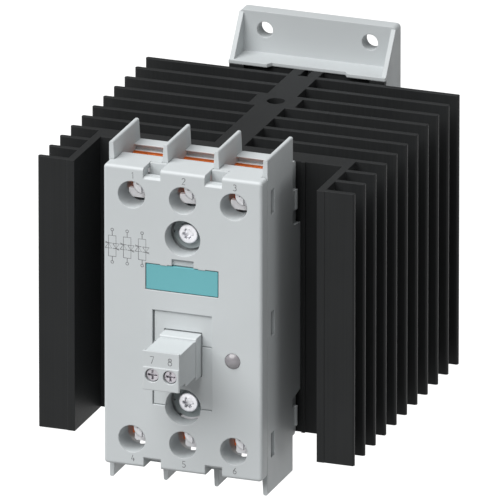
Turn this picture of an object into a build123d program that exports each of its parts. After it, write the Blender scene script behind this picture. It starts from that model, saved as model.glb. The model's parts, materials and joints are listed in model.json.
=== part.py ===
"""Three-phase solid state relay on a finned heat sink, for a 35 mm rail or a mounting plate.

The origin is the centre of the rear mounting plane. +Z is up, and the relay's front looks along -Y.
Most pieces are placed by their depth, which is counted back from the relay's front face.
"""
from build123d import *
import math
import os

os.makedirs("parts", exist_ok=True)

# Overall sizes (mm)
FRONT_TO_PANEL = 110.0
MODULE_WIDTH = 45.0
MODULE_HALF = MODULE_WIDTH / 2
COVER_HALF_HEIGHT = 42.6
BARRIER_TIPS = {1: 47.5, -1: 47.9}
INNER_BARRIER_ROOT = (6.4, 8.1)
INNER_BARRIER_TIP = (6.7, 7.8)
OUTER_BARRIER_INNER = (20.9, 21.3)
BARRIER_TIP_RADIUS = 0.45
SINK_HALF_WIDTH = 45.0
SINK_HEIGHT = 77.2
SINK_TOP = SINK_HEIGHT / 2

# Heat sink extrusion
FIN_PITCH = 8.33
FIN_THICKNESS = 1.5
FIN_COUNT = 11
FIRST_FIN_DEPTH = 10.8
FRONT_FINS = 4
FIN_TIP_RADIUS = 0.6
WING_FRONT = 9.9
WING_INNER = 34.5
WING_OUTER = 36.6
BASE_FRONT = 30.2
BASE_BACK = 36.6
WEB_HALF = 4.2
WEB_BOSS_HALF = 6.5
WEB_BOSS = (69.0, 77.4)
SCREW_CHANNEL_DEPTH = 73.1
SCREW_CHANNEL_RADIUS = 2.5
RIDGE_X = 23.5
FLANGE_FRONT = 99.5
FLANGE_BACK = 101.5
FLANGE_HALF = 20.9
FLANGE_LIP_FRONT = 97.3
FLANGE_LIP_INNER = 18.1
FLANGE_TOE_HALF = 22.3
FLANGE_TOE = (2.0, 1.2)
RIDGE = (1.0, 0.8)
SLOT_NECK = 2.2
SLOT_FOOT = 3.0
SLOT_FOOT_DEPTH = (94.4, 95.2)

# Terminals: three phases side by side, line terminals above and load terminals below
PHASE_X = (-14.5, 0.0, 14.5)
TERMINAL_Z = 34.75
ENDS = (("line", 1), ("load", -1))
DRIVER_HOLE_RADIUS = 3.85
DRIVER_TUBE_RADIUS = 4.85
DRIVER_TUBE_DEPTH = 7.1
CHAMBER_HALF = 6.4
CHAMBER_INNER_Z = 29.5
CHAMBER_PIT = (3.4, 13.4, 28.2)
TONGUE_HALF = 6.35
TONGUE_BACK = 10.6
WIRE_SLOT_BACK = 18.0
BAR_THICKNESS = 1.6
BAR_HALF = 6.3
BAR_TIP_Z = 40.0
BAR_SLOT_BACK = 19.7
BAR_GROOVE_BACK = 21.4
BAR_GROOVE_Z = 41.5
BAR_HOLE_RADIUS = 2.05
FOOT_Z = (1.5, 8.6)
FOOT_HALF = 4.0
FOOT_THICKNESS = 1.2
SCREW_HEAD_FRONT = 9.0
SCREW_HEAD_RADIUS = 2.95
SCREW_SLOT_HALF = 0.6
SCREW_CROSS = (1.9, 0.35)
SCREW_SLOT_DEPTH = 1.6
SCREW_RADIUS = 2.0
SCREW_TIP_DEPTH = 19.5
CLAMP_FRONT = 11.8
CLAMP_THICKNESS = 1.3
CLAMP_HALF = 3.55
CLAMP_INNER = 4.0
CLAMP_OUTER = 4.85
CLAMP_LIP = 0.4
CLAMP_FOOT_HALF = 5.1
CLAMP_FOOT = (-5.0, -2.5)

# Module fixing screws
FIXING_Z = 24.0
FIXING_RECESS_RADIUS = 5.05
FIXING_CUP_RADIUS = 5.85
FIXING_COLUMN_RADIUS = 3.2
FIXING_FLOOR_RADIUS = 5.85
FIXING_SCREW_RADIUS = 1.5
FIXING_HEAD_RADIUS = 2.85
FIXING_HEAD_FRONT = 4.1
FIXING_TIP_DEPTH = 38.0
LOBE_INNER_RADIUS = 1.05
LOBE_CENTRE_RADIUS = 1.2
LOBE_RADIUS = 0.42
LOBE_DEPTH = 1.35
WASHER_RADIUS = 4.6
WASHER_FRONT = 5.6
WASHER_BACK = 6.4

# Relay housing and cover
WALL = 1.4
FRONT_WALL = 1.6
COVER_DEPTH = 4.15
COVER_CORNER_RADIUS = 1.0
COVER_EDGE_RADIUS = 0.85
HOUSING_FRONT = 4.4
HOUSING_TOP = 41.8
HOUSING_BACK = 24.3
REAR_STEP_HALF = 21.3
REAR_STEP_TOP = 39.0
REAR_STEP_BACK = 29.9
CAVITY_HALF = 21.1
REAR_CAVITY_HALF = 19.8
PARTITION_Z = 26.8
OUTER_BARRIER_FRONT = 4.5
INNER_BARRIER_FRONT = 6.5
SNAP_Z = (-34.5, 0.0, 34.5)
SNAP_SLOT_HALF = 3.5
SNAP_SLOT = (7.2, 9.9)
SNAP_ARM = (20.25, 20.9)
SNAP_HOOK_X = 21.5
SNAP_HOOK = (7.5, 9.6)
SNAP_HOOK_HALF = 2.8
CLIP_BOTTOMS = (26.2, -35.5)
CLIP_HEIGHT = 5.6
CLIP_BARB = 0.35
CLIP_BACK = 27.2
CHEEK_TOP = (22.3, 21.4)
CHEEK_BOTTOM = (-27.3, -26.2)

# Front details
LABEL_X = (-10.6, 10.2)
LABEL_Z = (8.4, 15.95)
LABEL_GAP = 0.25
LABEL_SEAT_DEPTH = 1.0
LABEL_THICKNESS = 0.9
LABEL_MOAT_DEPTH = 2.8
LABEL_NUB_X = (4.4, 6.4)
TAB_HALF = 3.1
TAB_TOP = 17.85
TAB_DEPTH = 0.8
WINDOW_X = (-8.6, 8.3)
WINDOW_GAP = 0.2
WINDOW_WIDE_GAP = 0.45
WINDOW_THIN_GAP = 0.06
WINDOW_Z = (-24.1, 2.9)
WINDOW_STEP_Z = -6.2
LOWER_PLATE_FRONT = 0.4
UPPER_PLATE_FRONT = 0.5
INSERT_BACK = 3.0
LENS_X = 14.2
LENS_Z = -9.1
LENS_RADIUS = 2.12
LENS_HEIGHT = 0.9
NOTCH_X = (6.3, 11.2)
NOTCH_BACK = 6.3
NOTCH_WALL = 1.0
NOTCH_LIP_Z = 40.2
NOTCH_LIP_BACK = 2.9
NOTCH_FLOOR_Z = 38.8
NOTCH_BOSS_Z = 37.6
NOTCH_CHAMFER = 0.6

# Power stage
BASE_PLATE_HALF_WIDTH = 19.6
BASE_PLATE_HALF_HEIGHT = 26.6
BASE_PLATE = (27.2, 30.0)
SUBSTRATE_FRONT = 26.4
CHIP_FRONT = 25.9

# Control board and plug
BOARD = (12.5, 14.1)
BOARD_HALF_WIDTH = 20.6
BOARD_HALF_HEIGHT = 17.2
COUPLER_X = (-12.0, -4.0, 4.0)
COUPLER_Z = 11.5
COUPLER_PIN_X = 1.27
CAPACITOR = (-13.5, -9.5, 2.5, 6.0)
VARISTOR = (12.5, 10.5, 3.0, 7.0)
REGULATOR = (-13.5, 1.5)
RESISTOR_X = 9.0
RESISTOR_PITCH = 2.6
RESISTOR_Z = 2.5
GATE_PIN_X = 2.5
GATE_PIN_RADIUS = 0.35
PLUG_HALF = 5.2
PLUG_Z = (-13.4, -2.5)
PLUG_LINE_Z = -7.0
PLUG_FRONT = -17.0
PLUG_PIN_X = 2.55
PLUG_PIN_Z = -4.6
PLUG_SCREW_Z = -9.3
PLUG_LID_BACK = -16.2
PLUG_BODY_Z = (-13.4, -3.1)
PLUG_GROOVE = 0.9
PLUG_NECK_DROP = 0.25
PLUG_HEAD_BORE = (1.95, -14.7)
PLUG_SHANK_BORE = (1.35, -13.0)
PLUG_HEAD_RADIUS = 1.7
PLUG_SHANK_RADIUS = 1.25
PLUG_SCREW = (-16.3, -14.75, -7.7)
CAGE_ROOM = (2.05, -13.4, -3.5)
CAGE_ROOM_Z = (-12.2, -6.3)
WIRE_HOLE = (1.5, -8.0, -4.4)
CONTACT_ROOM = (1.15, -7.75)
CONTACT_ROOM_Z = (-6.5, -3.45)
CAGE_HALF = 1.9
CAGE = (-11.2, -3.8)
CAGE_Z = (-11.9, -6.6)
CAGE_WALL = 1.1
PLUG_CUT_BACK = -11.6
PLUG_CUT_Z = -12.3
PLUG_COLLAR_FRONT = -3.7
PLUG_COLLAR_Z = (-14.4, -2.6)
PLUG_BODY_BACK = 2.6
NOSE_HALF = 4.5
NOSE_Z = (-13.1, -3.1)
PLUG_NOSE_BACK = 7.0
SOCKET_HALF = 5.4
SOCKET_Z = (-14.75, -2.25)
SOCKET_STEP = 3.0
SOCKET_FLOOR = (7.5, 8.5)

# Rear adapter
SHELF = 1.0
SHELF_FRONT = 97.5
SHELF_RELIEF = 99.1
SHELF_RELIEF_HALF = (11.5, 10.5)
ADAPTER_WRAP_FRONT = 98.5
POCKET_X = (9.0, 20.9)
POCKET_Z = (20.5, 37.4)
RAIL_HOOK = (103.7, 106.5)
RAIL_HOOK_Z = 15.3
LATCH_SHOULDER = (9.0, 105.8, -43.0)
LATCH_PULL_Z = (-53.0, -51.0)
SCREW_ACCESS_RADIUS = 2.6
SCREW_CLEAR_RADIUS = 1.25
ADAPTER_SCREW_RADIUS = 1.05
ADAPTER_TOP = SINK_TOP + SHELF
ADAPTER_TIP = 51.3
GUSSET_INNER = 21.2
GUSSET_FRONT = 98.3
GUSSET_TIP = 50.7
ADAPTER_HOLE_X = 15.1
ADAPTER_HOLE_Z = 46.2
ADAPTER_HOLE_RADIUS = 2.3
BACK_PLATE_FRONT = 106.0
RAIL_GROOVE_HALF = 17.8
RAIL_LIP_FRONT = 102.5
ADAPTER_SCREW_Z = 28.0
LATCH_CHANNEL = (103.45, 106.65)
LATCH_HALF = 7.0
LATCH = (103.6, 106.5)
LATCH_NOSE_Z = -15.4
LATCH_TIP_Z = -55.0
SPRING_Z = (-36.0, -24.0)
SPRING_RADIUS = 1.15
SPRING_WIRE_RADIUS = 0.25


def row_y(depth):
    """The Y coordinate of a place at this depth behind the relay's front face."""
    return depth - FRONT_TO_PANEL


def front_plane(depth):
    """A sketch plane parallel to the front: X to the right, Z up, extruding towards the viewer."""
    return Plane.XZ.offset(FRONT_TO_PANEL - depth)


def slab(x, depth, z, mode=Mode.ADD):
    """A block between pairs of limits: across, back from the front face, and up."""
    with Locations(((x[0] + x[1]) / 2, row_y((depth[0] + depth[1]) / 2), (z[0] + z[1]) / 2)):
        Box(x[1] - x[0], depth[1] - depth[0], z[1] - z[0], mode=mode)


def rod(x, z, depth, radius, mode=Mode.ADD):
    """A round bar or hole along Y, between two depths."""
    with Locations((x, row_y((depth[0] + depth[1]) / 2), z)):
        Cylinder(radius, depth[1] - depth[0], rotation=(90, 0, 0), mode=mode)


def around(centre, half):
    """Limits at equal distances from a centre."""
    return (centre - half, centre + half)


def mirrored(limits, sign):
    """Limits on the side of zero that the sign gives, lowest first."""
    return tuple(sorted((limits[0] * sign, limits[1] * sign)))


# Heat sink -------------------------------------------------------------------------------------
with BuildPart() as heat_sink:
    with BuildSketch(Plane.XY.offset(-SINK_TOP)) as profile:
        with Locations((0, row_y((BASE_FRONT + BASE_BACK) / 2))):
            Rectangle(2 * WING_OUTER, BASE_BACK - BASE_FRONT)
        with Locations((0, row_y((BASE_BACK + FLANGE_BACK) / 2))):
            Rectangle(2 * WEB_HALF, FLANGE_BACK - BASE_BACK)
        with Locations((0, row_y((WEB_BOSS[0] + WEB_BOSS[1]) / 2))):
            Rectangle(2 * WEB_BOSS_HALF, WEB_BOSS[1] - WEB_BOSS[0])
        with Locations((0, row_y((FLANGE_FRONT + FLANGE_BACK) / 2))):
            Rectangle(2 * FLANGE_HALF, FLANGE_BACK - FLANGE_FRONT)
        for side in (-1, 1):
            wing_x = side * (WING_INNER + WING_OUTER) / 2
            with Locations((wing_x, row_y((WING_FRONT + BASE_FRONT) / 2))):
                Rectangle(WING_OUTER - WING_INNER, BASE_FRONT - WING_FRONT)
            with Locations((side * RIDGE_X, row_y(BASE_FRONT - 0.2))):
                Rectangle(*RIDGE)
            lip_half = (FLANGE_HALF - FLANGE_LIP_INNER) / 2
            with Locations((side * (FLANGE_HALF - lip_half), row_y((FLANGE_LIP_FRONT + FLANGE_BACK) / 2))):
                Rectangle(2 * lip_half, FLANGE_BACK - FLANGE_LIP_FRONT)
            toe_x = side * (FLANGE_TOE_HALF - FLANGE_TOE[0] / 2)
            with Locations((toe_x, row_y(FLANGE_LIP_FRONT + FLANGE_TOE[1] / 2))):
                Rectangle(*FLANGE_TOE)
            for index in range(FIN_COUNT):
                root = WEB_HALF if index >= FRONT_FINS else WING_OUTER
                length = SINK_HALF_WIDTH - root + 0.5
                fin_y = row_y(FIRST_FIN_DEPTH + index * FIN_PITCH)
                with Locations((side * (SINK_HALF_WIDTH - length / 2), fin_y)):
                    Rectangle(length, FIN_THICKNESS)
        tips = profile.vertices().filter_by(lambda corner: abs(corner.X) > SINK_HALF_WIDTH - 0.1)
        fillet(tips, FIN_TIP_RADIUS)
        with Locations((0, row_y(SCREW_CHANNEL_DEPTH))):
            Circle(SCREW_CHANNEL_RADIUS, mode=Mode.SUBTRACT)
        with Locations((0, row_y(sum(SLOT_FOOT_DEPTH) / 2))):
            Rectangle(SLOT_FOOT, SLOT_FOOT_DEPTH[1] - SLOT_FOOT_DEPTH[0], mode=Mode.SUBTRACT)
        with Locations((0, row_y((SLOT_FOOT_DEPTH[1] + FLANGE_BACK) / 2))):
            Rectangle(SLOT_NECK, FLANGE_BACK - SLOT_FOOT_DEPTH[1] + 0.1, mode=Mode.SUBTRACT)
    extrude(amount=SINK_HEIGHT)
    for z in (-FIXING_Z, FIXING_Z):
        rod(0, z, (BASE_FRONT - 1, 40.0), FIXING_SCREW_RADIUS + 0.05, Mode.SUBTRACT)
heat_sink.part.label = "heat_sink"
export_step(heat_sink.part, "parts/heat_sink.step")

# Rear adapter for the rail or the panel -----------------------------------------------------------
with BuildPart() as rail_adapter:
    slab(around(0, MODULE_HALF), (FLANGE_BACK, FRONT_TO_PANEL), around(0, ADAPTER_TOP))
    for side in (-1, 1):
        wrap_x = mirrored((FLANGE_HALF, MODULE_HALF), side)
        slab(wrap_x, (ADAPTER_WRAP_FRONT, FLANGE_BACK), around(0, ADAPTER_TOP))
    for up in (-1, 1):
        shelf_low = min(up * SINK_TOP, up * ADAPTER_TOP)
        with BuildSketch(Plane.XY.offset(shelf_low)):
            Polygon(
                (-MODULE_HALF, row_y(SHELF_FRONT)),
                (-SHELF_RELIEF_HALF[0], row_y(SHELF_FRONT)),
                (-SHELF_RELIEF_HALF[1], row_y(SHELF_RELIEF)),
                (SHELF_RELIEF_HALF[1], row_y(SHELF_RELIEF)),
                (SHELF_RELIEF_HALF[0], row_y(SHELF_FRONT)),
                (MODULE_HALF, row_y(SHELF_FRONT)),
                (MODULE_HALF, row_y(FRONT_TO_PANEL)),
                (-MODULE_HALF, row_y(FRONT_TO_PANEL)),
                align=None,
            )
        extrude(amount=SHELF)
        with BuildSketch(front_plane(BACK_PLATE_FRONT)) as flange:
            with Locations((0, up * (SINK_TOP + ADAPTER_TIP) / 2)):
                Rectangle(MODULE_WIDTH, ADAPTER_TIP - SINK_TOP)
            outer = flange.vertices().filter_by(lambda corner: abs(corner.Y) > ADAPTER_TIP - 0.1)
            fillet(outer, 1.2)
        extrude(amount=-(FRONT_TO_PANEL - BACK_PLATE_FRONT))
        for side in (-1, 1):
            gusset_x = GUSSET_INNER if side > 0 else -MODULE_HALF
            with BuildSketch(Plane.YZ.offset(gusset_x)):
                Polygon(
                    (row_y(GUSSET_FRONT), up * (ADAPTER_TOP - 0.2)),
                    (row_y(GUSSET_FRONT), up * ADAPTER_TOP),
                    (row_y(BACK_PLATE_FRONT), up * GUSSET_TIP),
                    (row_y(BACK_PLATE_FRONT + 1), up * (GUSSET_TIP - 0.6)),
                    (row_y(BACK_PLATE_FRONT + 1), up * (ADAPTER_TOP - 0.2)),
                    align=None,
                )
            extrude(amount=MODULE_HALF - GUSSET_INNER)
            hole_z = up * ADAPTER_HOLE_Z
            rod(side * ADAPTER_HOLE_X, hole_z, (100, 112), ADAPTER_HOLE_RADIUS, Mode.SUBTRACT)
        # pockets that keep the moulding's walls thin
        for side in (-1, 1):
            pocket_z = mirrored(POCKET_Z, up)
            slab(mirrored(POCKET_X, side), (LATCH_CHANNEL[0], 111), pocket_z, Mode.SUBTRACT)
        rod(0, up * ADAPTER_SCREW_Z, (LATCH_CHANNEL[0], 111), SCREW_ACCESS_RADIUS, Mode.SUBTRACT)
        rod(0, up * ADAPTER_SCREW_Z, (FLANGE_BACK - 1, 111), SCREW_CLEAR_RADIUS, Mode.SUBTRACT)
        countersink = front_plane(102.0) * Pos(0, up * ADAPTER_SCREW_Z, -0.725)
        with Locations(countersink):
            Cone(2.25, 1.15, 1.45, mode=Mode.SUBTRACT)
    slab((-7.5, 7.5), (LATCH_CHANNEL[0], 111), POCKET_Z, Mode.SUBTRACT)
    # rail groove with a fixed hook over the rail's upper lip
    slab((-23, 23), (RAIL_LIP_FRONT, 111), around(0, RAIL_GROOVE_HALF), Mode.SUBTRACT)
    slab(around(0, MODULE_HALF), RAIL_HOOK, (RAIL_HOOK_Z, RAIL_GROOVE_HALF + 0.2))
    # latch channel and the ledge that its spring stands on
    slab(around(0, LATCH_HALF + 0.15), LATCH_CHANNEL, (-60, -RAIL_GROOVE_HALF + 0.1), Mode.SUBTRACT)
    slab((-2.3, 2.3), (LATCH_CHANNEL[0] - 0.2, LATCH_CHANNEL[1] + 0.2), (SPRING_Z[0] - 2, SPRING_Z[0]))
rail_adapter.part.label = "rail_adapter"
export_step(rail_adapter.part, "parts/rail_adapter.step")

with BuildPart() as adapter_screws:
    for z in (-ADAPTER_SCREW_Z, ADAPTER_SCREW_Z):
        rod(0, z, (SLOT_FOOT_DEPTH[1] + 0.2, 102.1), ADAPTER_SCREW_RADIUS)
        with Locations(Plane.XZ.offset(FRONT_TO_PANEL - 102.0) * Pos(0, z, -0.7)):
            Cone(2.15, 1.05, 1.4)
        slab((-1.7, 1.7), (102.7, 104), around(z, 0.3), Mode.SUBTRACT)
        slab((-0.3, 0.3), (102.7, 104), around(z, 1.7), Mode.SUBTRACT)
adapter_screws.part.label = "adapter_screws"
export_step(adapter_screws.part, "parts/adapter_screws.step")

with BuildPart() as rail_latch:
    slab(around(0, LATCH_HALF), LATCH, (LATCH_TIP_Z, LATCH_NOSE_Z))
    nose = rail_latch.edges().filter_by(Axis.X).group_by(Axis.Z)[-1].sort_by(Axis.Y)[-1]
    chamfer(nose, 1.8, 1.2)
    shoulder_half, shoulder_back, shoulder_low = LATCH_SHOULDER
    slab(around(0, shoulder_half), (LATCH[0], shoulder_back), (shoulder_low, -ADAPTER_TOP - 0.2))
    slab((-2.6, 2.6), (103, 107), (SPRING_Z[0] - 2.4, SPRING_Z[1]), Mode.SUBTRACT)
    slab((-3, 3), (103, 107), LATCH_PULL_Z, Mode.SUBTRACT)
    tip = rail_latch.edges().filter_by(Axis.Y).group_by(Axis.Z)[0]
    fillet(tip, 1.5)
rail_latch.part.label = "rail_latch"
export_step(rail_latch.part, "parts/rail_latch.step")

with BuildPart() as latch_spring:
    coil_bottom = SPRING_Z[0] + SPRING_WIRE_RADIUS
    coil_height = SPRING_Z[1] - SPRING_Z[0] - 2 * SPRING_WIRE_RADIUS
    spring_place = (0, row_y(sum(LATCH) / 2), coil_bottom)
    with BuildLine() as coil:
        Helix(coil_height / 8, coil_height, SPRING_RADIUS, center=spring_place)
    with BuildSketch(Plane(origin=coil.line @ 0, z_dir=coil.line % 0)):
        Circle(SPRING_WIRE_RADIUS)
    sweep()
latch_spring.part.label = "latch_spring"
export_step(latch_spring.part, "parts/latch_spring.step")

# Power stage ---------------------------------------------------------------------------------------
with BuildPart() as thermal_pad:
    slab(around(0, BASE_PLATE_HALF_WIDTH), (BASE_PLATE[1], BASE_FRONT), around(0, BASE_PLATE_HALF_HEIGHT))
    for z in (-FIXING_Z, FIXING_Z):
        rod(0, z, (BASE_PLATE[0], BASE_FRONT + 1), 1.8, Mode.SUBTRACT)
thermal_pad.part.label = "thermal_pad"
export_step(thermal_pad.part, "parts/thermal_pad.step")

with BuildPart() as base_plate:
    slab(around(0, BASE_PLATE_HALF_WIDTH), BASE_PLATE, around(0, BASE_PLATE_HALF_HEIGHT))
    fillet(base_plate.edges().filter_by(Axis.Y), 1.5)
    for z in (-FIXING_Z, FIXING_Z):
        rod(0, z, (BASE_PLATE[0] - 1, BASE_FRONT), 1.7, Mode.SUBTRACT)
base_plate.part.label = "base_plate"
export_step(base_plate.part, "parts/base_plate.step")

with BuildPart() as ceramic_substrates:
    for x in PHASE_X:
        slab(around(x, 5.0), (SUBSTRATE_FRONT, BASE_PLATE[0]), around(0, 11.0))
ceramic_substrates.part.label = "ceramic_substrates"
export_step(ceramic_substrates.part, "parts/ceramic_substrates.step")

with BuildPart() as thyristor_chips:
    for x in PHASE_X:
        for up in (-1, 1):
            slab(around(x, 3.0), (CHIP_FRONT, SUBSTRATE_FRONT), around(up * 5.0, 3.0))
thyristor_chips.part.label = "thyristor_chips"
export_step(thyristor_chips.part, "parts/thyristor_chips.step")

for end, up in ENDS:
    for phase, x in enumerate(PHASE_X, 1):
        with BuildPart() as bar:
            bar_back = WIRE_SLOT_BACK + BAR_THICKNESS
            strip_z = mirrored((FOOT_Z[1] - BAR_THICKNESS, BAR_TIP_Z), up)
            slab(around(x, BAR_HALF), (WIRE_SLOT_BACK, bar_back), strip_z)
            leg_z = mirrored((FOOT_Z[1] - BAR_THICKNESS, FOOT_Z[1]), up)
            slab(around(x, FOOT_HALF), (WIRE_SLOT_BACK, CHIP_FRONT), leg_z)
            slab(around(x, FOOT_HALF), (CHIP_FRONT - FOOT_THICKNESS, CHIP_FRONT), mirrored(FOOT_Z, up))
            rod(x, up * TERMINAL_Z, (WIRE_SLOT_BACK - 1, bar_back + 1), BAR_HOLE_RADIUS, Mode.SUBTRACT)
            if x == 0:
                column_hole = FIXING_COLUMN_RADIUS + 0.2
                rod(x, up * FIXING_Z, (WIRE_SLOT_BACK - 1, bar_back + 1), column_hole, Mode.SUBTRACT)
        bar.part.label = f"{end}_bar_{phase}"
        export_step(bar.part, f"parts/{end}_bar_{phase}.step")

# Terminal clamps and screws
for end, up in ENDS:
    for phase, x in enumerate(PHASE_X, 1):
        with BuildPart() as clamp:
            clamp_back = CLAMP_FRONT + CLAMP_THICKNESS
            clamp_z = mirrored((TERMINAL_Z - CLAMP_INNER, TERMINAL_Z + CLAMP_OUTER), up)
            slab(around(x, CLAMP_HALF), (CLAMP_FRONT, clamp_back), clamp_z)
            chamfer(clamp.edges().filter_by(Axis.Y), 0.5)
            # the wide foot that slides along the chamber, and the lip that keeps the wire under the plate
            foot_z = mirrored((TERMINAL_Z + CLAMP_FOOT[0], TERMINAL_Z + CLAMP_FOOT[1]), up)
            slab(around(x, CLAMP_FOOT_HALF), (CLAMP_FRONT, clamp_back), foot_z)
            lip_z = mirrored((TERMINAL_Z - CLAMP_INNER, TERMINAL_Z - CLAMP_INNER + 1.0), up)
            slab(around(x, CLAMP_HALF - 1.0), (clamp_back - 0.1, clamp_back + CLAMP_LIP), lip_z)
            rod(x, up * TERMINAL_Z, (CLAMP_FRONT - 1, clamp_back + 2), SCREW_RADIUS + 0.15, Mode.SUBTRACT)
        clamp.part.label = f"{end}_clamp_{phase}"
        export_step(clamp.part, f"parts/{end}_clamp_{phase}.step")

        with BuildPart() as screw:
            z = up * TERMINAL_Z
            rod(x, z, (SCREW_HEAD_FRONT, CLAMP_FRONT), SCREW_HEAD_RADIUS)
            rim = screw.edges().filter_by(GeomType.CIRCLE).sort_by(Axis.Y)[0]
            fillet(rim, 0.3)
            rod(x, z, (CLAMP_FRONT - 0.1, SCREW_TIP_DEPTH), SCREW_RADIUS)
            slot_depth = (SCREW_HEAD_FRONT - 1, SCREW_HEAD_FRONT + SCREW_SLOT_DEPTH)
            slab(around(x, SCREW_SLOT_HALF), slot_depth, around(z, SCREW_HEAD_RADIUS + 1), Mode.SUBTRACT)
            slab(around(x, SCREW_CROSS[0]), slot_depth, around(z, SCREW_CROSS[1]), Mode.SUBTRACT)
            point = screw.edges().filter_by(GeomType.CIRCLE).sort_by(Axis.Y)[-1]
            chamfer(point, 0.5)
        screw.part.label = f"{end}_screw_{phase}"
        export_step(screw.part, f"parts/{end}_screw_{phase}.step")

# Relay housing ---------------------------------------------------------------------------------
with BuildPart() as relay_housing:
    slab(around(0, MODULE_HALF), (HOUSING_FRONT, HOUSING_BACK), around(0, HOUSING_TOP))
    slab(around(0, REAR_STEP_HALF), (HOUSING_BACK - 0.1, REAR_STEP_BACK), around(0, REAR_STEP_TOP))
    rear_ends = relay_housing.edges().filter_by(Axis.X).group_by(Axis.Y)[-1]
    fillet(rear_ends, 1.2)
    # cheeks that reach the heat sink at mid height
    for side in (-1, 1):
        cheek_x = REAR_STEP_HALF if side > 0 else -MODULE_HALF
        with BuildSketch(Plane.YZ.offset(cheek_x)):
            Polygon(
                (row_y(HOUSING_BACK - 0.1), CHEEK_TOP[0]),
                (row_y(BASE_FRONT), CHEEK_TOP[1]),
                (row_y(BASE_FRONT), CHEEK_BOTTOM[1]),
                (row_y(HOUSING_BACK - 0.1), CHEEK_BOTTOM[0]),
                align=None,
            )
        extrude(amount=MODULE_HALF - REAR_STEP_HALF)
    # barriers between the phases and outside them
    for up, tip_z in BARRIER_TIPS.items():
        root_z = HOUSING_TOP - 0.5
        for side in (-1, 1):
            with BuildSketch(front_plane(INNER_BARRIER_FRONT)):
                Polygon(
                    (side * INNER_BARRIER_ROOT[0], up * root_z),
                    (side * INNER_BARRIER_ROOT[1], up * root_z),
                    (side * INNER_BARRIER_TIP[1], up * tip_z),
                    (side * INNER_BARRIER_TIP[0], up * tip_z),
                    align=None,
                )
            extrude(amount=-(HOUSING_BACK - INNER_BARRIER_FRONT))
            with BuildSketch(front_plane(OUTER_BARRIER_FRONT)):
                Polygon(
                    (side * OUTER_BARRIER_INNER[0], up * root_z),
                    (side * MODULE_HALF, up * root_z),
                    (side * MODULE_HALF, up * tip_z),
                    (side * OUTER_BARRIER_INNER[1], up * tip_z),
                    align=None,
                )
            extrude(amount=-(HOUSING_BACK - OUTER_BARRIER_FRONT))
    tips = relay_housing.edges().filter_by(Axis.Y)
    tips = tips.filter_by(lambda edge: abs(edge.center().Z) > BARRIER_TIPS[1] - 0.01)
    fillet(tips, BARRIER_TIP_RADIUS)
    # control cavity, open to the front for the cover and to the back for the base plate
    cavity_z = around(0, PARTITION_Z)
    slab(around(0, CAVITY_HALF), (HOUSING_FRONT - 1, HOUSING_BACK - 0.3), cavity_z, Mode.SUBTRACT)
    slab(around(0, REAR_CAVITY_HALF), (HOUSING_BACK - 1, BASE_FRONT + 1), cavity_z, Mode.SUBTRACT)
    for end, up in ENDS:
        for x in PHASE_X:
            chamber_z = mirrored((CHAMBER_INNER_Z, HOUSING_TOP + 1), up)
            slab(around(x, CHAMBER_HALF), (HOUSING_FRONT - 1, WIRE_SLOT_BACK), chamber_z, Mode.SUBTRACT)
            pit_z = mirrored((CHAMBER_PIT[2], CHAMBER_INNER_Z + 0.1), up)
            slab(around(x, CHAMBER_PIT[0]), (HOUSING_FRONT - 1, CHAMBER_PIT[1]), pit_z, Mode.SUBTRACT)
            bar_seat_z = mirrored((PARTITION_Z - 1, BAR_TIP_Z + 0.1), up)
            bar_seat = (WIRE_SLOT_BACK - 0.1, WIRE_SLOT_BACK + BAR_THICKNESS + 0.1)
            slab(around(x, CHAMBER_HALF), bar_seat, bar_seat_z, Mode.SUBTRACT)
            groove_z = mirrored((BAR_TIP_Z, BAR_GROOVE_Z), up)
            slab(around(x, CHAMBER_HALF), (WIRE_SLOT_BACK - 0.1, BAR_GROOVE_BACK), groove_z, Mode.SUBTRACT)
            slot_z = mirrored((BAR_TIP_Z, HOUSING_TOP + 1), up)
            slab(around(x, CHAMBER_HALF), (WIRE_SLOT_BACK - 0.1, BAR_SLOT_BACK), slot_z, Mode.SUBTRACT)
            rod(x, up * TERMINAL_Z, (WIRE_SLOT_BACK, 26.0), SCREW_RADIUS + 0.6, Mode.SUBTRACT)
    # back walls of the cover's corner notches
    for up in (-1, 1):
        for side in (-1, 1):
            wall_x = mirrored((CHAMBER_HALF, NOTCH_X[1] - 0.1), side)
            wall_z = mirrored((NOTCH_FLOOR_Z + 0.1, COVER_HALF_HEIGHT - 0.05), up)
            wall_front = NOTCH_BACK - 0.1 - NOTCH_WALL
            slab(wall_x, (HOUSING_FRONT - 1, wall_front), wall_z, Mode.SUBTRACT)
            slab(wall_x, (wall_front, NOTCH_BACK - 0.1), wall_z)
    # room for the cover's cups, and columns under the fixing screws
    for z in (-FIXING_Z, FIXING_Z):
        rod(0, z, (HOUSING_FRONT - 1, WASHER_BACK), FIXING_CUP_RADIUS + 0.1, Mode.SUBTRACT)
        rod(0, z, (WASHER_BACK, BASE_PLATE[0]), FIXING_COLUMN_RADIUS)
        rod(0, z, (WASHER_BACK, WASHER_BACK + 0.8), FIXING_FLOOR_RADIUS)
        rod(0, z, (WASHER_BACK - 1, BASE_PLATE[0] + 1), FIXING_SCREW_RADIUS + 0.2, Mode.SUBTRACT)
    # the middle phase's pits stay clear of those floors
    for up in (-1, 1):
        pit_z = mirrored((CHAMBER_PIT[2], CHAMBER_INNER_Z + 0.5), up)
        slab(around(0, CHAMBER_PIT[0]), (HOUSING_FRONT - 1, CHAMBER_PIT[1]), pit_z, Mode.SUBTRACT)
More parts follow.
